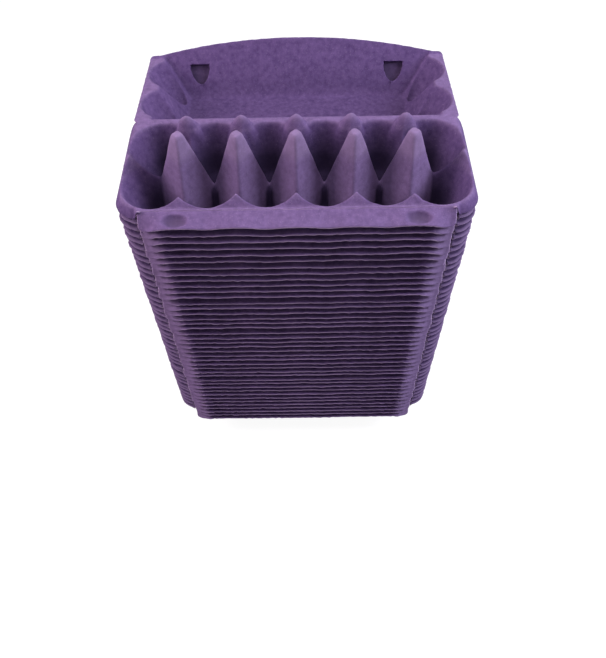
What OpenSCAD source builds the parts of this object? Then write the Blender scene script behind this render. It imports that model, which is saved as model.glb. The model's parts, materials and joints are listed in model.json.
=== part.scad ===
// Stack of moulded pulp egg cartons, nested open: each carton is one sheet of pulp
// with a tray of egg cells, a lid on a fold behind it and a tuck flap on a fold in front.
// Only the top carton's lid and flap are free to move, so they are pieces of their own.
// The cartons just under it are in two pieces each, the open rim and the cups that nest out of reach.

/* [Tray] */
// Egg cells along the tray, in each of its two rows
cell_columns = 6; // [3:1:6]
// Distance between neighbouring cells
cell_pitch = 48; // [46:0.5:52]
// Radius of a cell at the rim
cell_rim_r = 29; // [28:0.5:31]
// Radius of a cell's flat floor
cell_floor_r = 13; // [11:0.5:14]
// Depth of a cell below the rim
cell_depth = 44; // [40:0.5:48]
// How far the end cells sit in from the pitch
end_inset = 4; // [2:0.5:6]
// Flat rim in front of and behind the cells
rim_side = 2.5; // [2:0.5:5]
// Flat rim at the two ends
rim_end = 4.5; // [3:0.5:7]
// Radius of the rim's corners
rim_corner_r = 9; // [5:0.5:12]
// Thickness of the pulp
wall = 1.75; // [1.4:0.05:1.9]

/* [Posts] */
// Height of the middle posts above the rim
post_height = 30.5; // [24:0.5:32]
// Half diagonal of a post's blunt tip
post_tip = 4.5; // [4:0.25:6]
// Depth of the saddle between two posts
saddle_depth = 25.5; // [22:0.5:28]
// Half width of the flat bottom of a saddle
saddle_half = 5; // [4:0.5:7]
// How far a saddle's sides lean out over their height
saddle_lean = 0.4; // [0.36:0.02:0.46]
// Height of the rim's peaks between the cells
peak_height = 9; // [6:0.5:10]
// How far a peak leans in over its height
peak_run = 8; // [6:0.5:9]
// Flat rim outside the foot of the peaks in front and at the ends
peak_foot = 1.5; // [1:0.25:2.5]
// Flat rim between the fold and the foot of the peaks behind
rear_foot = 5.5; // [5:0.25:7]
// How far a peak behind leans in over its height
rear_run = 3; // [2.75:0.25:4]

/* [Lid] */
// Depth of the lid
lid_depth = 36; // [34:0.5:38]
// Distance from the fold to the lid's front wall, at the rim
lid_reach = 110; // [106:0.5:114]
// Flat rim between the fold and the lid's rear wall
lid_back = 4; // [3.5:0.25:4.5]
// How far the lid's rim stops short of the tray's, at each end
lid_end_step = 4.5; // [3:0.5:8]
// Draft of the lid's walls
lid_draft = 20; // [16:0.5:24]
// Radius of the round bays in the lid's ends, at the rim
bay_r = 25; // [22:0.5:25.5]
// How far the bays stand in from the lid's long walls
bay_step = 1.5; // [1:0.25:2]
// Share of a bay's radius that the long dish takes in
bay_share = 0.65; // [0.6:0.05:0.75]
// Draft of the bays' walls, enough for the lid to swing out of the lid below
bay_draft = 28; // [27:0.5:32]
// Height of the bowed lip in the middle of the lid's front wall
lip_height = 14; // [8:0.5:18]
// How far the open lid hangs below level
lid_droop = 4.5; // [2:0.25:5]

/* [Flap] */
// Length of the tuck flap from its fold to its edge
flap_len = 16; // [15.5:0.5:20]
// How far the flap stops short of the tray's rim, at each end
flap_end_step = 22; // [18:0.5:30]
// How far the open flap hangs below level
flap_droop = 14; // [8:0.5:20]
// Distance from the middle of the carton to each lock
lock_x = 97; // [80:0.5:104]
// Distance from the fold to a lock
lock_from_fold = 9; // [8.5:0.25:9.25]
// How much further from the rim the lid's holes sit than the buttons from the fold
lock_sink = 4; // [2:0.25:6]
// Radius of a lock button's round nose
button_r = 6; // [5:0.25:6.25]
// Length of a lock button's straight middle
button_len = 9; // [6:0.5:12]
// How far a lock button stands proud of the flap
button_proud = 4; // [3:0.25:4.5]
// Room round a lock button in its hole
lock_room = 1.5; // [1:0.25:3]

/* [Stack] */
// Cartons in the stack
carton_count = 41; // [3:1:48]
// Height that each carton adds to the stack
nest_pitch = 8.2; // [8:0.1:12]
// Cartons under the top one whose cups are a piece of their own
split_count = 7; // [0:1:9]
// Gap at the top carton's two folds
fold_gap = 0.3; // [0.2:0.05:0.5]

/* [Hidden] */
$fn = 64;
// Pulp dyed purple, in the light and in the shade of the stack
pulp = [0.40, 0.31, 0.52];
shaded_pulp = [0.33, 0.25, 0.44];

// Tray
row_y = cell_pitch / 2;
post_xs = [for (i = [1 : cell_columns - 1]) (i - cell_columns / 2) * cell_pitch];
end_cell_x = (cell_columns - 1) / 2 * cell_pitch - end_inset;
cell_xs = [for (i = [0 : cell_columns - 1])
    max(-end_cell_x, min(end_cell_x, (i - (cell_columns - 1) / 2) * cell_pitch))];
cell_slope = (cell_rim_r - cell_floor_r) / cell_depth;
tray_x = end_cell_x + cell_rim_r + rim_end;
tray_y = row_y + cell_rim_r + rim_side;
post_slope = (cell_pitch / 2 - post_tip) / (post_height + saddle_depth);
above = 1;
below = cell_depth + wall + above;

// Lid
lid_x = tray_x - lid_end_step;
lid_slope = tan(lid_draft);
bay_slope = tan(bay_draft);
lid_below = lid_depth + wall + above;
bay_x = lid_x - rim_end / 2 - bay_r;
bay_ys = [lid_back + bay_step + bay_r, lid_reach - bay_step - bay_r];
lid_front = lid_reach + wall / cos(lid_draft);
lip_half = lid_x - rim_corner_r;
lip_r = (pow(lip_half, 2) + pow(lip_height, 2)) / (2 * lip_height);

// Room at a fold, so that the hanging sheet's lower edge keeps the gap too
function fold_room(droop) = fold_gap + wall * tan(droop);

// Flap and locks
flap_x = tray_x - flap_end_step;
button_foot = sqrt(pow(button_r, 2) - pow(button_r - button_proud, 2));
button_z = -wall - button_proud + button_r;
lock_hole_r = button_len / 2 + button_foot + lock_room;

// Stack
lid_low = (lid_reach - lid_depth * lid_slope) * sin(lid_droop) + (lid_depth + wall) * cos(lid_droop);
base_h = max(cell_depth + wall, lid_low);
lid_far = tray_y + lid_front * cos(lid_droop)
    + lip_height * (sin(lid_droop) + lid_slope * cos(lid_droop));
flap_far = tray_y + flap_len * cos(flap_droop);
mid_y = (lid_far - flap_far) / 2;
first_split = max(1, carton_count - split_count);
function level_name(word, level) = str(word, level < 10 ? "_0" : "_", level);
lower_names = [for (i = [1 : carton_count - 1]) level_name("carton", i)];
cup_names = [for (i = [first_split : 1 : carton_count - 1]) level_name("cups", i)];

// Plate with round corners, centred on X and reaching from y0 to y1
// Its ends are in whole hundredths, so that the arcs meet the straight edges
module rounded_plate(half_x, y0, y1, r) {
    near = ceil(100 * y0) / 100;
    far = ceil(100 * y1) / 100;
    translate([-half_x + r, near]) square([2 * (half_x - r), far - near]);
    translate([-half_x, near + r]) square([2 * half_x, far - near - 2 * r]);
    for (x = [r - half_x, half_x - r], y = [near + r, far - r]) translate([x, y]) circle(r);
}

// Bar along X whose section in Y and Z is the given polygon
module bar_x(half_len, section) {
    rotate([90, 0, 90]) linear_extrude(2 * half_len, center = true) polygon(section);
}

// Bar along Y whose section in X and Z is the given polygon
module bar_y(y0, y1, section) {
    translate([0, y1, 0]) rotate([90, 0, 0]) linear_extrude(y1 - y0) polygon(section);
}

// Section of a wedge: low width at z0 to high width at z1, about the middle
function wedge(z0, w0, z1, w1) = [[-w0, z0], [w0, z0], [w1, z1], [-w1, z1]];

// Radius of a cell at height z
function cell_r(z) = cell_rim_r + z * cell_slope;

// Egg cells as round tapered plugs, larger by grow on every side
module cells(grow) {
    side = grow / cos(atan(cell_slope));
    low = -cell_depth - grow;
    high = peak_height + above;
    for (x = cell_xs, y = [-row_y, row_y]) translate([x, y, low])
        cylinder(h = high - low, r1 = cell_r(low) + side, r2 = cell_r(high) + side);
}

// Troughs that join the cells over the saddles, larger by grow
module troughs(grow) {
    side = grow / cos(atan(saddle_lean));
    low = -saddle_depth - grow;
    high = peak_height + above;
    half = [for (z = [low, high]) saddle_half + (z + saddle_depth) * saddle_lean + side];
    for (y = [-row_y, 0, row_y]) translate([0, y, 0])
        bar_x(end_cell_x, wedge(low, half[0], high, half[1]));
}

// Middle posts as blunt square pyramids with their corners along the rows, smaller by shrink
module posts(shrink) {
    side = shrink / cos(atan(post_slope / sqrt(2)));
    low = -below - shrink;
    high = post_height - shrink;
    half = [for (z = [low, high]) (cell_pitch / 2 - (z + saddle_depth) * post_slope) / sqrt(2) - side];
    for (x = post_xs) translate([x, 0, 0])
        intersection() {
            rotate([0, 0, 45]) bar_x(2 * half[0], wedge(low, half[0], high, half[1]));
            rotate([0, 0, -45]) bar_x(2 * half[0], wedge(low, half[0], high, half[1]));
        }
}

// Ridge along the rim that the cells cut into peaks, smaller by shrink
module peaks(shrink) {
    lean = peak_run / peak_height;
    rear_lean = rear_run / peak_height;
    side = shrink / cos(atan(lean));
    front = tray_y - peak_foot - side;
    rear = tray_y - rear_foot - shrink / cos(atan(rear_lean));
    end = tray_x - peak_foot - side;
    low = -wall - shrink - above;
    high = peak_height - shrink;
    bar_x(end_cell_x - shrink, [
        [low * lean - front, low], [rear - low * rear_lean, low],
        [rear - high * rear_lean, high], [high * lean - front, high]
    ]);
    bar_y(shrink - row_y, row_y - shrink, wedge(low, end - low * lean, high, end - high * lean));
}

// All that lies under the tray's upper face, or under its lower face with inset = wall
module under_tray(inset) {
    difference() {
        union() {
            if (inset == 0)
                translate([0, 0, -below]) linear_extrude(below)
                    rounded_plate(tray_x, -tray_y, tray_y, rim_corner_r);
            else
                translate([-2 * tray_x, -2 * tray_y, -below - inset])
                    cube([4 * tray_x, 4 * tray_y, below]);
            peaks(inset);
        }
        cells(inset);
        troughs(inset);
    }
    posts(inset);
}

// Tray: two rows of egg cells with tall posts between them and a peaked rim
module tray() {
    difference() {
        under_tray(0);
        under_tray(wall);
    }
}

// Where a tray's cups and posts lie: below its rim, and between the outer walls of its cells
module cup_space() {
    translate([-2 * tray_x, -2 * tray_y, -2 * below]) cube([4 * tray_x, 4 * tray_y, 2 * below - 3 * wall]);
    translate([-end_cell_x, -row_y, -2 * below]) cube([2 * end_cell_x, 2 * row_y, 3 * below]);
}

// Hollow of the lid: a long dish with sloping sides, larger by grow
module dish(grow) {
    side = grow / cos(lid_draft);
    low = -lid_depth - grow;
    high = lip_height + above;
    y0 = lid_back - side;
    y1 = lid_reach + side;
    half_x = bay_x + bay_r * bay_share + side;
    intersection() {
        bar_x(2 * lid_x, [
            [y0 - low * lid_slope, low], [y1 + low * lid_slope, low],
            [y1 + high * lid_slope, high], [y0 - high * lid_slope, high]
        ]);
        bar_y(-lid_reach, 2 * lid_reach,
            wedge(low, half_x + low * lid_slope, high, half_x + high * lid_slope));
    }
}

// Round bays at the ends of the dish, larger by grow
module bays(grow) {
    side = grow / cos(bay_draft);
    low = -lid_depth - grow;
    high = lip_height + above;
    for (x = [-bay_x, bay_x], y = bay_ys) translate([x, y, low])
        cylinder(h = high - low, r1 = bay_r + low * bay_slope + side, r2 = bay_r + high * bay_slope + side);
}

// Bowed top of the lid's front wall, seen along Y
module lip_arc() {
    intersection() {
        translate([0, lip_height - lip_r]) circle(lip_r, $fn = 360);
        translate([-lip_half, -above]) square([2 * lip_half, lip_height + 2 * above]);
    }
}

// All that lies under the lid's inner face, or under its outer face with inset = wall
module under_lid(inset, back) {
    difference() {
        union() {
            if (inset == 0) {
                translate([0, 0, -lid_below]) linear_extrude(lid_below)
                    rounded_plate(lid_x, back, lid_front, rim_corner_r);
                translate([0, lid_front + lip_height * lid_slope, 0]) rotate([90, 0, 0])
                    linear_extrude(lip_height) lip_arc();
            } else {
                translate([-2 * lid_x, -lid_reach, -lid_below - inset])
                    cube([4 * lid_x, 3 * lid_reach, lid_below]);
                translate([-2 * lid_x, lid_reach, -lid_below])
                    cube([4 * lid_x, lid_reach, lid_below + lip_height + above]);
            }
        }
        dish(inset);
        bays(inset);
    }
}

// Holes in the lid's front wall that take the flap's buttons, round with a flat towards the rim
module lock_holes() {
    for (x = [-lock_x, lock_x]) translate([x, lid_front, -lock_from_fold - lock_sink])
        rotate([90, 0, 0]) linear_extrude(lid_reach / 4)
            intersection() {
                circle(lock_hole_r);
                translate([-2 * lock_hole_r, -2 * lock_hole_r])
                    square([4 * lock_hole_r, 2 * lock_hole_r + button_foot + lock_room]);
            }
}

// Lid: a shallow dish with bays in its ends and a bowed front wall, from the fold outwards
module lid(back) {
    translate([0, tray_y, 0]) rotate([-lid_droop, 0, 0])
        difference() {
            under_lid(0, back);
            under_lid(wall, back);
            lock_holes();
        }
}

// Rounded lock button: a bar with round ends
module button(r) {
    rotate([0, 90, 0]) cylinder(h = button_len, r = r, center = true);
    for (s = [-1, 1]) translate([s * button_len / 2, 0, 0]) sphere(r);
}

// Tuck flap: a flat strip with two hollow buttons pressed down through it
module flap(back) {
    translate([0, -tray_y, 0]) rotate([flap_droop, 0, 0])
        difference() {
            union() {
                translate([-flap_x, -flap_len, -wall]) cube([2 * flap_x, flap_len + back, wall]);
                for (x = [-lock_x, lock_x]) translate([x, -lock_from_fold, button_z])
                    intersection() {
                        button(button_r);
                        translate([0, 0, -button_z - wall / 2 - 2 * button_r])
                            cube([4 * button_len, 4 * button_r, 4 * button_r], center = true);
                    }
            }
            for (x = [-lock_x, lock_x]) translate([x, -lock_from_fold, button_z]) button(button_r - wall);
        }
}

// Puts a carton's pieces at its place in the stack, counted from the bottom
module place(level) {
    translate([0, -mid_y, base_h + (level - 1) * nest_pitch]) children();
}

// One nested carton: tray, lid and flap in one sheet, without its cups where they are a piece of their own
module carton(level) {
    color(shaded_pulp) place(level) {
        if (level < first_split) tray();
        else difference() {
            tray();
            cup_space();
        }
        lid(-above);
        flap(above);
    }
}

// Cups and posts of a carton just under the top one
module cups(level) {
    color(shaded_pulp) place(level)
        intersection() {
            tray();
            cup_space();
        }
}

module top_tray() { color(pulp) place(carton_count) tray(); }

module top_lid() { color(pulp) place(carton_count) lid(fold_room(lid_droop)); }

module top_flap() { color(pulp) place(carton_count) flap(-fold_room(flap_droop)); }

for (level = [1 : carton_count - 1])
    carton(level);
for (level = [first_split : 1 : carton_count - 1])
    cups(level);
top_tray();
top_lid();
top_flap();
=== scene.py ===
import bpy
import json
import math
import numpy as np
from mathutils import Matrix, Vector


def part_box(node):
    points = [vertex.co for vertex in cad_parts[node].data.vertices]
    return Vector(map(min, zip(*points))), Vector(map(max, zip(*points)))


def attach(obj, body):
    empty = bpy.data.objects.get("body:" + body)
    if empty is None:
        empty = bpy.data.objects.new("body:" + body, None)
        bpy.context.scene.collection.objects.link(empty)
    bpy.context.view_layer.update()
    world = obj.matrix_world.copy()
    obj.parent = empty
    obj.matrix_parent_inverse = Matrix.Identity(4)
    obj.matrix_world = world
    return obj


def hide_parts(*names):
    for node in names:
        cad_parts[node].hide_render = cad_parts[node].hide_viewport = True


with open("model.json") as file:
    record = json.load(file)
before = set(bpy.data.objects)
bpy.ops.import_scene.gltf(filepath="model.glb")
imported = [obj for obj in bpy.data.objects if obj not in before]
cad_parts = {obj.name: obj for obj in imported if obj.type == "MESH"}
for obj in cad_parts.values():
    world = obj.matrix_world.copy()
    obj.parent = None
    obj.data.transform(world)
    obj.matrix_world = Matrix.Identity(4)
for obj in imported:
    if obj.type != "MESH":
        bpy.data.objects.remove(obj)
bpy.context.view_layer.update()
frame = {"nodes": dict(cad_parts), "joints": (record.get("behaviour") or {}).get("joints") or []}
metres = 0.001  # lengths below are in millimetres, meshes are in metres

# What the frame gives: where the top carton's rim lies and how the cartons step up
lidJoint = next(j for j in frame["joints"] if j["name"] == "lid_fold")
trayLow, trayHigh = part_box("top_tray")
lowerNames = sorted(n for n in frame["nodes"] if n.startswith("carton_"))
trayHalfX = (trayHigh.x - trayLow.x) / 2 / metres
trayHalfY = (trayHigh.y - trayLow.y) / 2 / metres
trayMidY = (trayHigh.y + trayLow.y) / 2 / metres
axisLift = 0.2  # fold axes lie this far above the rim
topRimZ = lidJoint["pos_m"][2] / metres - axisLift
nestStep = (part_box(lowerNames[1])[0].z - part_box(lowerNames[0])[0].z) / metres
print(f"frame: {len(lowerNames)} nested cartons, {nestStep:.2f} mm apart, top rim at {topRimZ:.1f} mm")


# Shapes that every carton shares

tray = {
    "columns": 6, "pitch": 48.0, "rowY": 24.0, "wall": 1.75, "cornerR": 9.0, "frontCornerR": 22.0,
    "cellR": 29.0, "cellFloorR": 13.0, "cellDepth": 44.0, "cellRound": 7.0, "endInset": 4.0, "ridgeRound": 3.0,
    "farAbove": 60.0, "rimRound": 2.6,
    "postHeight": 30.5, "postTip": 4.9, "postRound": 1.3, "tipRound": 2.5, "footRound": 6.0,
    "saddleDepth": 25.5, "saddleHalf": 5.0, "saddleSlope": 0.4, "saddleRound": 6.0,
    "saddleStop": 8.0, "stopSlope": 3.0,
    "peakHeight": 10.8, "peakRun": 9.0, "peakFoot": 1.5, "rearFoot": 4.8, "rearRun": 2.6, "peakRound": 2.0,
    "peakPast": 4.0, "peakFade": 8.0,
    "humpHeight": 11.5, "humpY": 47.4, "humpHalfX": 9.5, "humpHalfY": 5.5, "humpRound": 3.0, "humpLow": -4.0,
    "skirtRun": 7.5, "skirtDrop": 9.5, "skirtBend": 1.7, "skirtStart": 2.0, "skirtFade": 5.0,
}
lid = {
    "reach": 110.0, "back": 4.0, "depth": 36.0, "draft": 20.0, "droop": 4.5, "halfX": 145.0, "cornerR": 5.0,
    "bayR": 25.6, "bayInset": 1.6, "bayStep": 1.5, "bayShare": 0.52, "bayDraft": 28.0, "bayRound": 1.2,
    "endDraft": 31.0, "endRound": 4.0, "floorRound": 10.0, "rimRound": 1.0, "farEdge": 1.4,
    "lipHeight": 14.0, "lipHalf": 136.0, "lipFrom": 4.0, "lipOver": 2.0,
}
flap = {
    "length": 16.0, "droop": 14.0, "halfX": 127.5, "cornerR": 3.0, "dip": 2.2, "dipHalf": 11.0,
    "lockX": 97.0, "lockFromFold": 9.0, "buttonHalf": 10.2, "buttonFoot": 5.7, "buttonDeep": 4.0,
    "holeTop": 5.8, "holeHalf": 10.0, "holeLong": 18.5, "endFrom": 110.0, "endDroop": 40.0,
}
cellXs = (np.arange(tray["columns"]) - (tray["columns"] - 1) / 2) * tray["pitch"]
endCellX = cellXs[-1] - tray["endInset"]
cellXs = np.clip(cellXs, -endCellX, endCellX)
postXs = (np.arange(1, tray["columns"]) - tray["columns"] / 2) * tray["pitch"]
lidSlope = math.tan(math.radians(lid["draft"]))
endSlope = math.tan(math.radians(lid["endDraft"]))
baySlope = math.tan(math.radians(lid["bayDraft"]))


# The lower of two heights, with the corner between them rounded over about k
def softMin(a, b, k):
    h = np.clip(0.5 + 0.5 * (b - a) / k, 0, 1)
    return b + (a - b) * h - k * h * (1 - h)


# The higher of two heights, with the corner between them rounded over about k
def softMax(a, b, k):
    return -softMin(-a, -b, k)


# Smooth waves of about the given length: a sum of sines with seeded directions and phases, from -1 to 1
def waves(x, y, length, seed, count=14):
    rng = np.random.default_rng(seed)
    turn = rng.uniform(0, 2 * np.pi, count)
    size = 2 * np.pi / (length * rng.uniform(0.7, 1.6, count))
    shift = rng.uniform(0, 2 * np.pi, count)
    total = np.zeros(np.broadcast(x, y).shape)
    for a, k, p in zip(turn, size, shift):
        total += np.sin(k * (np.cos(a) * x + np.sin(a) * y) + p)
    return total / math.sqrt(count * 2)


# Distance from the tray's turned-down edge: the two ends, and the front beyond the ends of the flap,
# which meet in corners with the outline's radius
def edgeDistance(x, y):
    r = tray["frontCornerR"]
    toEnd, toFront = trayHalfX - np.abs(x), trayHalfY + y
    corner = np.hypot(np.maximum(0, r - toEnd), np.maximum(0, r - toFront))
    inside = np.where(corner > 0, r - corner, np.minimum(toEnd, toFront))
    past = np.clip((np.abs(x) - flap["halfX"] + tray["skirtStart"]) / tray["skirtFade"], 0, 1)
    return toEnd + (np.minimum(inside, toEnd) - toEnd) * past


# Distance along X from the middle of the nearest post
def fromPost(x):
    return x - np.clip(np.round(x / tray["pitch"]) * tray["pitch"], postXs[0], postXs[-1])


# Height of the nearest post's faces: a cone of the distance |x| + |y| from its middle
def postCone(x, y, slim):
    slope = (tray["pitch"] / 2 - tray["postTip"]) / (tray["postHeight"] + tray["saddleDepth"])
    r = tray["postRound"]
    out = np.sqrt(fromPost(x) ** 2 + r * r) + np.sqrt(y ** 2 + r * r)
    return (tray["pitch"] / 2 - slim + r - out) / slope - tray["saddleDepth"]


# Tray height: a flat rim with a ridge, cut by round tapered cells and troughs, then joined to round humps
# behind and diamond posts in the middle, with the edge of the rim turned down as a skirt.
# A cell is a cone whose height is (distance - radius) / slope.
def trayHeight(x, y, slim=0.0, skirt=tray["skirtDrop"]):
    slope = (tray["cellR"] - tray["cellFloorR"]) / tray["cellDepth"]
    cells = np.full(np.broadcast(x, y).shape, tray["farAbove"])
    for cx in cellXs:
        for cy in (-tray["rowY"], tray["rowY"]):
            cone = (np.hypot(x - cx, y - cy) - tray["cellR"]) / slope
            cells = softMin(cells, softMax(cone, -tray["cellDepth"], tray["cellRound"]), tray["ridgeRound"])
    pastEnd = np.maximum(0, np.abs(x) - endCellX + tray["saddleStop"]) * tray["stopSlope"]
    for cy in (-tray["rowY"], 0, tray["rowY"]):
        side = np.maximum(0, np.abs(y - cy) - tray["saddleHalf"]) / tray["saddleSlope"]
        cells = softMin(cells, side - tray["saddleDepth"] + pastEnd, tray["saddleRound"])
    inFront = trayHalfY - np.where(y > 0, tray["rearFoot"], tray["peakFoot"]) - np.abs(y)
    inEnd = trayHalfX - tray["peakFoot"] - np.abs(x)
    ridge = np.clip(inFront / np.where(y > 0, tray["rearRun"], tray["peakRun"]), 0, 1) * tray["peakHeight"]
    ridge = ridge * np.clip((endCellX + tray["peakPast"] - np.abs(x)) / tray["peakFade"], 0, 1)
    endRidge = np.clip(inEnd / tray["peakRun"], 0, 1) * tray["peakHeight"]
    endRidge = endRidge * np.clip((tray["rowY"] + tray["peakPast"] - np.abs(y)) / tray["peakFade"], 0, 1)
    height = softMin(softMax(ridge, endRidge, tray["peakRound"]), cells, tray["rimRound"])
    hump = 1 - (fromPost(x) / tray["humpHalfX"]) ** 2 - ((y - tray["humpY"]) / tray["humpHalfY"]) ** 2
    height = softMax(height, np.maximum(hump, tray["humpLow"]) * tray["humpHeight"], tray["humpRound"])
    post = softMin(postCone(x, y, slim), tray["postHeight"], tray["tipRound"])
    height = softMax(height, post, tray["footRound"])
    return height - skirt * np.clip(1 - edgeDistance(x, y) / tray["skirtRun"], 0, 1) ** tray["skirtBend"]


# Height of the bowed lip over the lid's rim: a parabola that ends at the corners
def lipRise(x):
    return lid["lipHeight"] * np.clip(1 - (x / lid["lipHalf"]) ** 2, 0, 1)


# Lid height, from the fold outwards: a dish with sloping sides joined to four round bays,
# cut off at the rim, but running on up the front wall as far as the lip
def lidHeight(x, y):
    deep = -lid["depth"]
    k = lid["floorRound"]
    bayX = lid["halfX"] - lid["bayInset"] - lid["bayR"]
    dish = softMax((lid["back"] - y) / lidSlope, (y - lid["reach"]) / lidSlope, k)
    dish = softMax(dish, deep, k)
    dish = softMax(dish, (np.abs(x) - bayX - lid["bayR"] * lid["bayShare"]) / endSlope, lid["endRound"])
    for by in (lid["back"] + lid["bayStep"] + lid["bayR"], lid["reach"] - lid["bayStep"] - lid["bayR"]):
        for bx in (-bayX, bayX):
            cone = (np.hypot(x - bx, y - by) - lid["bayR"]) / baySlope
            dish = softMin(dish, softMax(cone, deep, k), lid["bayRound"])
    atFront = np.clip((y - lid["reach"] + lid["lipFrom"]) / lid["lipFrom"], 0, 1)
    return softMin(dish, atFront * (lipRise(x) + lid["lipOver"]), lid["rimRound"])


# Flap height, from the fold outwards: flat, with a dip in front of each cell and a pocket for each lock button
def flapHeight(x, s):
    height = np.zeros(np.broadcast(x, s).shape)
    out = np.clip(s / flap["length"], 0, 1)
    for cx in cellXs:
        height = height - flap["dip"] * np.exp(-((x - cx) / flap["dipHalf"]) ** 2) * out
    for lx in (-flap["lockX"], flap["lockX"]):
        bowl = 1 - ((x - lx) / flap["buttonHalf"]) ** 2 - ((s - flap["lockFromFold"]) / flap["buttonFoot"]) ** 2
        height = height - flap["buttonDeep"] * np.sqrt(np.clip(bowl, 0, 1))
    return height


# Half width of a plate with round corners at the distance d from its edge
def roundedHalf(half, r, d):
    d = np.clip(d, 0, r)
    return half - r + np.sqrt(np.maximum(0, r * r - (r - d) ** 2))


# Half width of the tray at y: its front corners are rounder than those at the fold
def trayHalf(y):
    r = np.where(y < 0, tray["frontCornerR"], tray["cornerR"])
    return roundedHalf(trayHalfX, r, trayHalfY - np.abs(y))


# Turns lid or flap points (x, out, up) about the fold into the carton's frame
def foldOut(x, out, up, droop, side):
    a = np.radians(droop)
    y = side * (trayHalfY + out * np.cos(a) + up * np.sin(a))
    z = -out * np.sin(a) + up * np.cos(a)
    return np.stack([np.broadcast_to(x, y.shape), y, z], -1)


# How far the flap hangs at x: its ends bend down further than its middle
def flapDroop(x, droop):
    end = np.clip((np.abs(x) - flap["endFrom"]) / (flap["halfX"] - flap["endFrom"]), 0, 1)
    return droop + flap["endDroop"] * end * end * (3 - 2 * end)


# Steps along a line whose spacing changes from stretch to stretch: stops and how many steps lie between them
def spaced(stops, counts):
    parts = [np.linspace(a, b, n, endpoint=False) for a, b, n in zip(stops[:-1], stops[1:], counts)]
    return np.concatenate(parts + [[stops[-1]]])


# The same steps to both sides of the middle, from -1 to 1 in one row
def mirrored(stops, counts):
    half = spaced(stops, counts) / stops[-1]
    return np.concatenate([-half[:0:-1], half])[None, :]


# Where the lid's grid points lie: x across and y from the fold, out to the bowed front edge
def lidGrid(u, v):
    x = u * lid["halfX"] + 0 * v
    length = lid["reach"] + lidSlope * lipRise(x) + lid["farEdge"]
    y = v * length
    return u * roundedHalf(lid["halfX"], lid["cornerR"], np.minimum(y, length - y)), y


# Normals of a grid of points: the cross product of its two directions
def gridNormals(p):
    n = np.cross(np.gradient(p, axis=1), np.gradient(p, axis=0))
    n /= np.maximum(np.linalg.norm(n, axis=-1, keepdims=True), 1e-9)
    return n


# A sheet of even thickness under a grid of points, with round edges, as one closed mesh.
# keep says which squares of the grid are there, so a hole is a patch of squares left out.
# The two arrays of values are painted light that the pulp's colour takes at each point: a painted highlight,
# and deep, a painted shade.
sheet = {"edgeBulge": 0.4, "underHighlight": 0.6}


def sheetMesh(name, top, thick, paintedHighlight, deep, keep=None, edgeHighlight=1.0):
    rows, cols = top.shape[:2]
    normal = gridNormals(top)
    normal *= np.where(normal[..., 2:] < 0, -1, 1)
    under = top - normal * thick
    if keep is None:
        keep = np.ones((rows - 1, cols - 1), bool)
    index = np.arange(rows * cols).reshape(rows, cols)
    corners = [index[:-1, :-1], index[:-1, 1:], index[1:, 1:], index[1:, :-1]]
    quads = np.stack([c[keep] for c in corners], -1)
    n = rows * cols
    # edges that only one square uses are the sheet's borders
    pairs = np.concatenate([quads[:, [0, 1]], quads[:, [1, 2]], quads[:, [2, 3]], quads[:, [3, 0]]])
    key = np.sort(pairs, 1) @ np.array([n, 1])
    _, first, times = np.unique(key, return_index=True, return_counts=True)
    border = pairs[first[times == 1]]
    rim = np.unique(border)
    flatTop, flatUnder = top.reshape(-1, 3), under.reshape(-1, 3)
    centre = np.zeros((n, 3))
    hits = np.zeros(n)
    for k in range(4):
        np.add.at(centre, quads[:, k], flatTop[quads].mean(1))
        np.add.at(hits, quads[:, k], 1)
    outward = flatTop[rim] - centre[rim] / hits[rim][:, None]
    outward -= normal.reshape(-1, 3)[rim] * (outward * normal.reshape(-1, 3)[rim]).sum(1, keepdims=True)
    outward /= np.maximum(np.linalg.norm(outward, axis=1, keepdims=True), 1e-9)
    middle = (flatTop[rim] + flatUnder[rim]) / 2 + outward * thick * sheet["edgeBulge"]
    midOf = np.zeros(n, int)
    midOf[rim] = 2 * n + np.arange(len(rim))
    a, b = border[:, 0], border[:, 1]
    faces = np.concatenate([
        quads, quads[:, ::-1] + n,
        np.stack([b, a, midOf[a], midOf[b]], -1), np.stack([midOf[b], midOf[a], a + n, b + n], -1)])
    points = np.concatenate([flatTop, flatUnder, middle])
    # the borders get their own painted highlight, for edges that catch the light
    rimHighlight = np.broadcast_to(edgeHighlight, (rows, cols)).ravel()[rim]
    # the underside gets a weaker share of the painted highlight
    paleFibreAndHighlight = np.concatenate([paintedHighlight.ravel(), paintedHighlight.ravel() * sheet["underHighlight"], rimHighlight])
    # painted shade, the same on both faces and the border
    paintedShadeValues = np.concatenate([deep.ravel(), deep.ravel(), deep.ravel()[rim]])
    used = np.zeros(len(points), bool)
    used[faces.ravel()] = True
    renumber = np.cumsum(used) - 1
    return meshObject(name, points[used], renumber[faces], {"paintedHighlight": paleFibreAndHighlight[used], "deep": paintedShadeValues[used]})


# Puts arrays into a new mesh: points in millimetres of the carton's frame, faces of four corners
def meshObject(name, points, faces, values):
    mesh = bpy.data.meshes.new(name)
    mesh.vertices.add(len(points))
    mesh.vertices.foreach_set("co", (points * metres).astype(np.float32).ravel())
    mesh.loops.add(faces.size)
    mesh.loops.foreach_set("vertex_index", faces.astype(np.int32).ravel())
    mesh.polygons.add(len(faces))
    mesh.polygons.foreach_set("loop_start", np.arange(0, faces.size, 4, dtype=np.int32))
    mesh.polygons.foreach_set("use_smooth", np.ones(len(faces), bool))
    mesh.update(calc_edges=True)
    mesh.validate()
    for key, value in values.items():
        layer = mesh.attributes.new(key, "FLOAT", "POINT")
        layer.data.foreach_set("value", value.astype(np.float32))
    piece = bpy.data.objects.new(name, mesh)
    bpy.context.scene.collection.objects.link(piece)
    return piece


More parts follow.
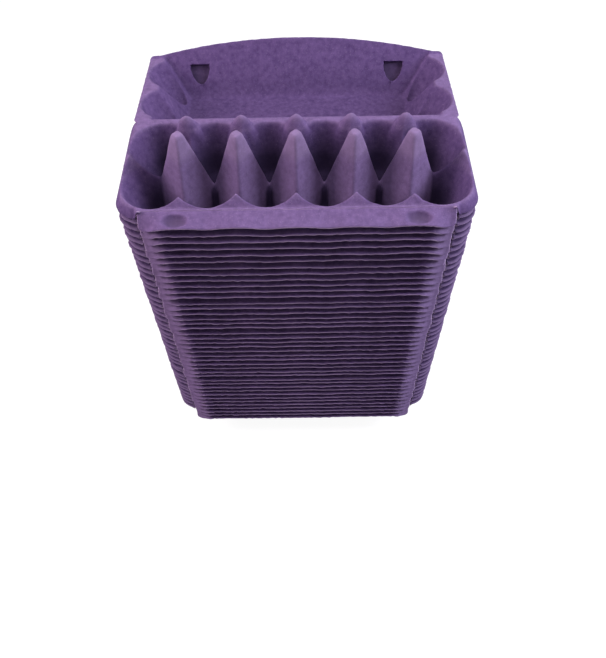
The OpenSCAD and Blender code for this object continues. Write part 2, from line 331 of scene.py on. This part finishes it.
# Shader group: colour mottling, short fibres and fine bumps of dry pulp
def pulpGroup():
    group = bpy.data.node_groups.new("pulpFibre", "ShaderNodeTree")
    face = group.interface
    face.new_socket("Grain", in_out="INPUT", socket_type="NodeSocketFloat").default_value = 420.0
    face.new_socket("Cloud", in_out="INPUT", socket_type="NodeSocketFloat").default_value = 45.0
    face.new_socket("Mottle", in_out="OUTPUT", socket_type="NodeSocketFloat")
    face.new_socket("Fibre", in_out="OUTPUT", socket_type="NodeSocketFloat")
    face.new_socket("Height", in_out="OUTPUT", socket_type="NodeSocketFloat")
    nodes, links = group.nodes, group.links
    inlet, outlet = nodes.new("NodeGroupInput"), nodes.new("NodeGroupOutput")
    place = nodes.new("ShaderNodeTexCoord")

    def noise(scaleFrom, factor, detail, rough):
        tex = nodes.new("ShaderNodeTexNoise")
        tex.inputs["Detail"].default_value = detail
        tex.inputs["Roughness"].default_value = rough
        times = nodes.new("ShaderNodeMath")
        times.operation = "MULTIPLY"
        times.inputs[1].default_value = factor
        links.new(inlet.outputs[scaleFrom], times.inputs[0])
        links.new(times.outputs[0], tex.inputs["Scale"])
        links.new(place.outputs["Object"], tex.inputs["Vector"])
        return tex.outputs["Fac"]

    def mixed(a, b, share):
        mix = nodes.new("ShaderNodeMix")
        mix.inputs["Factor"].default_value = share
        links.new(a, mix.inputs["A"])
        links.new(b, mix.inputs["B"])
        return mix.outputs["Result"]

    cloud, fine = noise("Cloud", 1.0, 4.0, 0.6), noise("Grain", 1.0, 5.0, 0.65)
    coarse, thread = noise("Grain", 0.35, 3.0, 0.55), noise("Grain", 1.8, 2.0, 0.5)
    links.new(mixed(cloud, coarse, 0.7), outlet.inputs["Mottle"])
    links.new(mixed(fine, thread, 0.5), outlet.inputs["Fibre"])
    links.new(mixed(fine, coarse, 0.4), outlet.inputs["Height"])
    return group


# Dyed pulp: two purples by the mottling, paler on edges and high parts by a painted highlight, darker down in
# the hollows by painted shade
pulpLook = {
    "dark": (0.079, 0.044, 0.136, 1), "light": (0.145, 0.086, 0.223, 1), "paleFibreAndHighlight": (0.430, 0.310, 0.480, 1),
    "hollow": (0.009, 0.005, 0.020, 1), "roughness": 0.93, "specular": 0.15, "bump": 0.6, "bumpDeep": 0.0008,
    "mottleFrom": 0.32, "mottleTo": 0.68, "fibreFrom": 0.56, "fibreTo": 0.74,
    "fibreShare": 0.36, "paintedShadeShare": 0.9, "highlightShare": 0.9,
}


def pulpMaterial(name, fibre, grain, cloud):
    mat = bpy.data.materials.new(name)
    mat.use_nodes = True
    nodes, links = mat.node_tree.nodes, mat.node_tree.links
    shader = nodes["Principled BSDF"]
    look = pulpLook
    shader.inputs["Roughness"].default_value = look["roughness"]
    shader.inputs["Specular IOR Level"].default_value = look["specular"]
    pulp = nodes.new("ShaderNodeGroup")
    pulp.node_tree = fibre
    pulp.inputs["Grain"].default_value = grain
    pulp.inputs["Cloud"].default_value = cloud

    def stretched(value, low, high):
        ramp = nodes.new("ShaderNodeMapRange")
        ramp.inputs["From Min"].default_value = low
        ramp.inputs["From Max"].default_value = high
        links.new(value, ramp.inputs["Value"])
        return ramp.outputs["Result"]

    def blended(share, a, b):
        mix = nodes.new("ShaderNodeMix")
        mix.data_type = "RGBA"
        links.new(share, mix.inputs["Factor"])
        for end, value in (("A", a), ("B", b)):
            socket = next(s for s in mix.inputs if s.name == end and s.type == "RGBA")
            if isinstance(value, tuple):
                socket.default_value = value
            else:
                links.new(value, socket)
        return next(s for s in mix.outputs if s.type == "RGBA")

    def scaled(value, factor):
        times = nodes.new("ShaderNodeMath")
        times.operation = "MULTIPLY"
        links.new(value, times.inputs[0])
        times.inputs[1].default_value = factor
        return times.outputs[0]

    paintedHighlight, deep = nodes.new("ShaderNodeAttribute"), nodes.new("ShaderNodeAttribute")
    paintedHighlight.attribute_name, deep.attribute_name = "paintedHighlight", "deep"
    mottle = stretched(pulp.outputs["Mottle"], look["mottleFrom"], look["mottleTo"])
    fibres = stretched(pulp.outputs["Fibre"], look["fibreFrom"], look["fibreTo"])
    colour = blended(mottle, look["dark"], look["light"])
    # pale fibres, in the same pale colour that the painted highlight uses
    colour = blended(scaled(fibres, look["fibreShare"]), colour, look["paleFibreAndHighlight"])
    # painted shade: the colour goes dark by the deep attribute, standing in for shadow down in hollows
    colour = blended(scaled(deep.outputs["Fac"], look["paintedShadeShare"]), colour, look["hollow"])
    # painted highlight: the colour goes pale by the highlight attribute, standing in for light on edges and
    # high parts
    colour = blended(scaled(paintedHighlight.outputs["Fac"], look["highlightShare"]), colour, look["paleFibreAndHighlight"])
    links.new(colour, shader.inputs["Base Color"])
    bump = nodes.new("ShaderNodeBump")
    bump.inputs["Strength"].default_value = look["bump"]
    bump.inputs["Distance"].default_value = look["bumpDeep"]
    links.new(pulp.outputs["Height"], bump.inputs["Height"])
    links.new(bump.outputs["Normal"], shader.inputs["Normal"])
    return mat


fibreGroup = pulpGroup()
pulpTop = pulpMaterial("pulpTop", fibreGroup, grain=620.0, cloud=42.0)
pulpStack = pulpMaterial("pulpStack", fibreGroup, grain=560.0, cloud=55.0)
print("pulp materials made")


# Moves points from the carton's frame to the carton's level in the stack
def settle(points, level):
    lift = topRimZ - (len(lowerNames) - level) * nestStep
    return points + np.array([0.0, trayMidY, lift])


# Gives a piece its material, the body it rides on and the nodes it stands for
def finishPiece(piece, body, nodes, material):
    piece.data.materials.append(material)
    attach(piece, body)
    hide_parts(*nodes)


# Small bumps of the moulded surface, in millimetres
bumpLook = {"wide": 0.16, "wideLength": 9.0, "fine": 0.11, "fineLength": 3.6, "fineCount": 20}


def pulpBumps(x, y, seed):
    wide = waves(x, y, bumpLook["wideLength"], seed)
    fine = waves(x, y, bumpLook["fineLength"], seed + 1, bumpLook["fineCount"])
    return bumpLook["wide"] * wide + bumpLook["fine"] * fine


# Painted highlight on a tray point: high on peaks and post tips, and along the rim
highlightLook = {"from": 1.0, "run": 38.0, "most": 0.34, "rim": 0.16, "rimBand": 2.0}


def paintedTrayHighlight(z):
    high = np.clip((z - highlightLook["from"]) / highlightLook["run"], 0, highlightLook["most"])
    return high + highlightLook["rim"] * np.exp(-(z / highlightLook["rimBand"]) ** 2)


def makeTopTray():
    grid = {"yStops": (-1, -0.94, -0.75, 0.75, 1), "yCounts": (12, 14, 70, 22), "cols": 240, "seed": 41,
            "bumpFade": 3.0, "postBlend": 3.0, "postHighlight": 0.17, "postLift": 0.9,
            "endFrom": 8.0, "endRun": 14.0, "endLift": 0.55, "deepRun": 30.0, "deepBend": 0.8}
    v = spaced(grid["yStops"], grid["yCounts"])[:, None]
    u = np.linspace(-1, 1, grid["cols"])[None, :]
    y = v * trayHalfY + 0 * u
    x = u * trayHalf(y)
    z = trayHeight(x, y)
    top = np.stack([x, y, z], -1)
    edge = np.minimum(trayHalfY - np.abs(y), trayHalfX - np.abs(x))
    bumps = pulpBumps(x, y, grid["seed"]) * np.clip(edge / grid["bumpFade"], 0, 1)
    top += gridNormals(top) * bumps[..., None]
    onPost = np.clip((postCone(x, y, 0.0) - z + grid["postBlend"]) / grid["postBlend"], 0, 1)
    atEnd = np.clip((np.abs(x) - endCellX - grid["endFrom"]) / grid["endRun"], 0, 1)
    # painted shade down in the cells, lifted on the posts and at the ends
    deep = np.clip(-z / grid["deepRun"], 0, 1) ** grid["deepBend"]
    deep = deep * (1 - grid["postLift"] * onPost) * (1 - grid["endLift"] * atEnd)
    # painted highlight on high parts, the rim and the post faces
    paleFibreAndHighlight = np.maximum(paintedTrayHighlight(z), grid["postHighlight"] * onPost)
    piece = sheetMesh("topTray", settle(top, len(lowerNames)), tray["wall"], paleFibreAndHighlight, deep)
    finishPiece(piece, "stack", ["top_tray"], pulpTop)


def makeTopLid():
    grid = {"xStops": (0, 84, 118, 145), "xCounts": (28, 42, 36), "yStops": (0, 20, 94, 116),
            "yCounts": (30, 58, 56), "seed": 77, "bumpShare": 0.8, "floorShade": 0.35,
            "rimHighlight": 0.15, "rimBand": 1.5, "rimStop": 2.0, "edgeHighlight": 0.6}
    u = mirrored(grid["xStops"], grid["xCounts"])
    x, y = lidGrid(u, spaced(grid["yStops"], grid["yCounts"])[:, None] / grid["yStops"][-1])
    # lock holes: squares of the front wall inside a half ellipse under a flat top are left out,
    # and the points just inside that outline are moved out onto it
    side, down = np.sign(x), (lid["reach"] - y) / lidSlope - flap["holeTop"]
    across = np.abs(x) - flap["lockX"]
    ring = np.hypot(across / flap["holeHalf"], down / flap["holeLong"])
    inHole = (ring < 1) & (down > 0) & (y > lid["reach"] / 2)
    keep = ~(inHole[:-1, :-1] & inHole[1:, :-1] & inHole[:-1, 1:] & inHole[1:, 1:])
    toRing = (1 - ring) * flap["holeHalf"] < down
    onX = np.where(toRing, across / np.maximum(ring, 1e-6), across)
    onDown = np.where(toRing, down / np.maximum(ring, 1e-6), 0)
    x = np.where(inHole, side * (flap["lockX"] + onX), x)
    y = np.where(inHole, lid["reach"] - (onDown + flap["holeTop"]) * lidSlope, y)
    z = lidHeight(x, y)
    bumps = pulpBumps(x, y, grid["seed"])
    top = foldOut(x, y, z + bumps * grid["bumpShare"], lid["droop"], 1)
    # painted shade on the dish floor, darker with depth
    deep = np.clip(-z / lid["depth"], 0, 1) * grid["floorShade"]
    # painted highlight along the rim
    paleFibreAndHighlight = grid["rimHighlight"] * np.exp(-(z / grid["rimBand"]) ** 2) * (y < lid["reach"] - grid["rimStop"])
    # painted highlight on the borders, none round the lock holes
    edges = np.where(inHole, 0.0, grid["edgeHighlight"])
    piece = sheetMesh("topLid", settle(top, len(lowerNames)), tray["wall"], paleFibreAndHighlight, deep, keep, edges)
    finishPiece(piece, "lid", ["top_lid"], pulpTop)


def makeTopFlap():
    grid = {"rows": 19, "cols": 170, "seed": 93, "foldGap": 0.3, "bumpShare": 0.7,
            "wave": 0.5, "waveLength": 60.0, "paintedHighlight": 0.1, "deepFrom": 1.2, "deepHalf": 11.0}
    s = np.linspace(grid["foldGap"], flap["length"], grid["rows"])[::-1, None]
    u = np.linspace(-1, 1, grid["cols"])[None, :]
    x = u * roundedHalf(flap["halfX"], flap["cornerR"], flap["length"] - s)
    s = s + 0 * u
    z = flapHeight(x, s) + pulpBumps(x, s, grid["seed"]) * grid["bumpShare"]
    z = z + grid["wave"] * waves(x, s * 0 + 3, grid["waveLength"], grid["seed"] + 2) * s / flap["length"]
    top = foldOut(x, s, z, flapDroop(x, flap["droop"]), -1)
    # painted shade in the button pockets, and an even painted highlight over the flap
    atButton = np.abs(np.abs(x) - flap["lockX"]) < grid["deepHalf"]
    deep = np.clip((-grid["deepFrom"] - flapHeight(x, s)) / flap["buttonDeep"], 0, 1) * atButton
    piece = sheetMesh("topFlap", settle(top, len(lowerNames)), tray["wall"], grid["paintedHighlight"] + 0 * z, deep)
    finishPiece(piece, "flap", ["top_flap"], pulpTop)


# One nested carton as a single sheet: flap, tray and lid rows one after another on one grid
def makeLowerCarton(level, name):
    grid = {
        "xStops": (0, 96, 130, 144.7, 149.5), "xCounts": (23, 11, 8, 3), "slim": 0.8, "shift": 0.35,
        "flapRows": (1.0, 0.94, 0.8, 0.55, 0.3, 0.04),
        "edgeRows": (0.4, 1.6, 3.0, 5.0, 8.0, 12.0, 17.0), "midRows": (-31, -24, -16, -8, 0, 8, 16, 24, 31),
        "lidRows": (0.6, 2.0, 4.0, 6.5, 10.0, 14.0, 20.0, 30.0, 42.0, 55.0, 68.0, 80.0, 90.0, 96.0, 100.0,
                    104.0, 107.0, 109.5, 112.0, 116.0),
        "flapSwing": 3.0, "flapWave": 0.7, "flapWaveLength": 55.0, "shorter": -0.008, "longer": 0.004,
        "pocket": 0.45, "ragged": 0.3, "raggedLength": 7.0, "raggedCount": 20,
        "wideGaps": {29: -7.0, 28: 5.0, 23: -6.0, 22: 5.0, 21: 3.0, 12: -5.0, 11: 4.0},
        "skirt": 6.4, "skirtSway": 0.8, "swayStep": 2.4, "underFrom": 0.3, "underRun": 1.4, "underShade": 0.78,
        "endStart": 132.0, "endRun": 14.0, "rimWave": 0.35, "rimWaveLength": 28.0,
        "endRagged": 1.4, "endRaggedLength": 9.0, "endRaggedMost": 0.3, "raggedLevels": 8.0, "raggedStart": 3.2,
        "plainHighlight": 0.05, "bandHighlight": 0.3, "bandFrom": 126.0, "endHighlight": 0.16, "fadeRun": 6.0,
        "flapShade": 0.95, "lowShade": 0.72, "shadeBend": 0.25, "lidShade": 0.7,
        "postLight": 0.3, "lightRun": 12.0, "lightFrom": 0.8, "endShade": 0.5, "endShadeFrom": 4.0,
    }
    rng = np.random.default_rng(1000 + level)
    u = mirrored(grid["xStops"], grid["xCounts"])
    flapEnd = grid["xStops"][-2] / grid["xStops"][-1]
    droop = flap["droop"] + rng.uniform(-1, 1) * grid["flapSwing"] + grid["wideGaps"].get(level, 0.0)

    s = np.array(grid["flapRows"])[:, None] * flap["length"] + 0 * u
    x = u / flapEnd * roundedHalf(flap["halfX"], flap["cornerR"], flap["length"] - s)
    x = x * (1 + rng.uniform(grid["shorter"], grid["longer"]) * (s / flap["length"]))
    torn = waves(x, 0 * s, grid["raggedLength"], 2000 + level, grid["raggedCount"])
    s = s + grid["ragged"] * torn * (s / flap["length"]) ** 4
    bend = grid["flapWave"] * waves(x, s * 0 + 3, grid["flapWaveLength"], 3000 + level) * s / flap["length"]
    z = grid["pocket"] * flapHeight(x, s) + bend
    flapTop = foldOut(x, s, z, flapDroop(x, droop), -1)

    edge = np.array(grid["edgeRows"])
    y = np.concatenate([edge - trayHalfY, grid["midRows"], (trayHalfY - edge)[::-1]])[:, None] + 0 * u
    x = u * trayHalf(y)
    z = trayHeight(x, y, grid["slim"], grid["skirt"] + grid["skirtSway"] * math.sin(grid["swayStep"] * level))
    # painted shade where the rim passes under the carton above
    under = np.clip((edgeDistance(x, y) - grid["underFrom"]) / grid["underRun"], 0, 1)
    nearEnd = np.clip((np.abs(x) - grid["endStart"]) / grid["endRun"], 0, 1)
    z = z + grid["rimWave"] * nearEnd * waves(x, y, grid["rimWaveLength"], 5000 + level)
    # the ends are more ragged high in the stack
    high = np.clip(level / grid["raggedLevels"] - grid["raggedStart"], 0, 1)
    notch = grid["ragged"] + grid["endRagged"] * high
    torn = waves(0 * x, y, grid["endRaggedLength"], 6000 + level, grid["raggedCount"])
    x = x + np.sign(x) * notch * nearEnd ** 3 * np.minimum(grid["endRaggedMost"], torn)
    trayTop = np.stack([x, y, z], -1)
    # painted highlight on high parts and on the end bands, cut off in the painted shade under the rim
    band = np.clip((np.abs(x) - grid["bandFrom"]) / grid["fadeRun"], 0, 1)
    trayHighlight = (paintedTrayHighlight(z) + grid["bandHighlight"] * band) * (1 - under)

    x, y = lidGrid(u, np.array(grid["lidRows"])[:, None] / grid["lidRows"][-1])
    lidTop = foldOut(x, y, lidHeight(x, y), lid["droop"], 1)

    # the flap stops at its own ends, so the squares beyond them are left out
    top = np.concatenate([flapTop, trayTop, lidTop])
    keep = np.ones((top.shape[0] - 1, top.shape[1] - 1), bool)
    keep[:len(flapTop)] = np.abs(u[0, 1:] + u[0, :-1]) / 2 < flapEnd
    top = top + np.array([*rng.uniform(-grid["shift"], grid["shift"], 2), 0.0])
    flapX = u / flapEnd * flap["halfX"]
    # painted highlight: a little over the flap and lid, more on the flap's ends where they bend down
    atEnd = np.clip((np.abs(flapX) - flap["endFrom"]) / grid["fadeRun"], 0, 1)
    flapHighlight = grid["plainHighlight"] + grid["endHighlight"] * atEnd + 0 * s
    paleFibreAndHighlight = np.concatenate([flapHighlight, trayHighlight, np.full(lidTop.shape[:2], grid["plainHighlight"])])
    # painted shade on the flap: darker towards the fold, most of all high in the stack, but less so in front of
    # the posts and where the flap's ends bend down
    shade = grid["lowShade"] + (grid["flapShade"] - grid["lowShade"]) * (level / len(lowerNames))
    shade = shade * np.maximum(0, 1 - s / flap["length"]) ** grid["shadeBend"]
    toCell = np.min(np.abs(flapX[..., None] - cellXs[1:-1]), -1)
    shade = shade * (1 - grid["postLight"] * np.clip(toCell / grid["lightRun"] - grid["lightFrom"], 0, 1))
    toEnd = (flap["endFrom"] + grid["endShadeFrom"] - np.abs(flapX)) / grid["fadeRun"]
    shade = shade * np.clip(toEnd, grid["endShade"], 1)
    # painted shade on the flap, under the rim and over the whole lid
    deep = np.concatenate([shade, grid["underShade"] * under, np.full(lidTop.shape[:2], grid["lidShade"])])
    piece = sheetMesh(f"nestedCarton{level + 1:02d}", settle(top, level), tray["wall"], paleFibreAndHighlight, deep, keep)
    cups = name.replace("carton", "cups")
    finishPiece(piece, "stack", [n for n in (name, cups) if n in frame["nodes"]], pulpStack)


makeTopTray()
makeTopLid()
makeTopFlap()
print("top carton made")
for level, name in enumerate(lowerNames):
    makeLowerCarton(level, name)
print("nested cartons made")


# Floor, light and camera
stage = {
    "floorHalf": 4.0, "floorColour": (0.86, 0.86, 0.87, 1), "floorRough": 0.9, "white": 0.8, "glow": 1.16,
    "worldStrength": 0.035, "lampAim": (0, 0, 0.25),
}
lamps = [
    {"name": "topLamp", "at": (-0.05, 0.05, 1.7), "size": 0.6, "power": 11.5, "colour": (1.0, 0.97, 0.99)},
    {"name": "rightLamp", "at": (0.95, -0.1, 0.9), "size": 0.45, "power": 14.0, "colour": (0.86, 0.89, 1.0)},
    {"name": "frontLamp", "at": (0.1, -1.3, 1.35), "size": 0.5, "power": 3.6, "colour": (1.0, 0.95, 1.0)},
    {"name": "backLamp", "at": (0.3, 1.4, 0.9), "size": 0.6, "power": 4.0, "colour": (1.0, 0.97, 1.0)},
    {"name": "leftLamp", "at": (-0.95, -0.12, 0.85), "size": 0.45, "power": 10.5, "colour": (1.0, 0.87, 0.93)},
]


# Pale floor that keeps the shadow but looks white to the camera: part matte, part glow for camera rays
def makeFloor():
    half = stage["floorHalf"] / metres
    corners = np.array([[-half, -half, 0], [half, -half, 0], [half, half, 0], [-half, half, 0]])
    floor = meshObject("floor", corners, np.array([[0, 1, 2, 3]]), {})
    mat = bpy.data.materials.new("paleFloor")
    mat.use_nodes = True
    nodes, links = mat.node_tree.nodes, mat.node_tree.links
    matte = nodes["Principled BSDF"]
    matte.inputs["Base Color"].default_value = stage["floorColour"]
    matte.inputs["Roughness"].default_value = stage["floorRough"]
    kinds = ("ShaderNodeEmission", "ShaderNodeMixShader", "ShaderNodeLightPath")
    glow, mix, path = [nodes.new(kind) for kind in kinds]
    share = nodes.new("ShaderNodeMath")
    share.operation = "MULTIPLY"
    share.inputs[1].default_value = stage["white"]
    glow.inputs["Strength"].default_value = stage["glow"]
    links.new(path.outputs["Is Camera Ray"], share.inputs[0])
    links.new(share.outputs[0], mix.inputs[0])
    links.new(matte.outputs[0], mix.inputs[1])
    links.new(glow.outputs[0], mix.inputs[2])
    links.new(mix.outputs[0], nodes["Material Output"].inputs["Surface"])
    floor.data.materials.append(mat)


# Area lamps aimed at the stack, in a faint white room that camera rays see as plain white
def makeLamps():
    aim = Vector(stage["lampAim"])
    for lamp in lamps:
        data = bpy.data.lights.new(lamp["name"], "AREA")
        data.size = lamp["size"]
        data.energy = lamp["power"]
        data.color = lamp["colour"]
        obj = bpy.data.objects.new(lamp["name"], data)
        obj.location = lamp["at"]
        obj.rotation_euler = (aim - obj.location).to_track_quat("-Z", "Y").to_euler()
        bpy.context.scene.collection.objects.link(obj)
    world = bpy.data.worlds.new("softRoom")
    bpy.context.scene.world = world
    world.use_nodes = True
    nodes, links = world.node_tree.nodes, world.node_tree.links
    room = nodes["Background"]
    kinds = ("ShaderNodeBackground", "ShaderNodeMixShader", "ShaderNodeLightPath")
    backdrop, mix, path = [nodes.new(kind) for kind in kinds]
    for shade, strength in ((room, stage["worldStrength"]), (backdrop, 1.0)):
        shade.inputs["Color"].default_value = (1, 1, 1, 1)
        shade.inputs["Strength"].default_value = strength
    links.new(path.outputs["Is Camera Ray"], mix.inputs[0])
    links.new(room.outputs[0], mix.inputs[1])
    links.new(backdrop.outputs[0], mix.inputs[2])
    links.new(mix.outputs[0], nodes["World Output"].inputs["Surface"])


# Camera: its place from the middle of the top tray's rim, in mm, and how it looks down, turns and rolls
view = {
    "from": (7.5, -430.3, 376.0), "down": 55.46, "turn": 0.71, "roll": -1.4, "focalPx": 656.0, "imagePx": 606,
}


def makeCamera():
    data = bpy.data.cameras.new("photoCamera")
    data.sensor_fit = "HORIZONTAL"
    data.sensor_width = 36.0
    data.lens = view["focalPx"] / view["imagePx"] * data.sensor_width
    camera = bpy.data.objects.new("photoCamera", data)
    place = (np.array(view["from"]) + np.array([0, trayMidY, topRimZ])) * metres
    turn = Matrix.Rotation(math.radians(view["turn"]), 4, "Z")
    tip = Matrix.Rotation(math.radians(90 - view["down"]), 4, "X")
    roll = Matrix.Rotation(math.radians(view["roll"]), 4, "Z")
    camera.matrix_world = Matrix.Translation(place) @ turn @ tip @ roll
    bpy.context.scene.collection.objects.link(camera)
    bpy.context.scene.camera = camera


makeFloor()
makeLamps()
makeCamera()
bpy.context.scene.view_settings.view_transform = "Standard"
print("stage made")
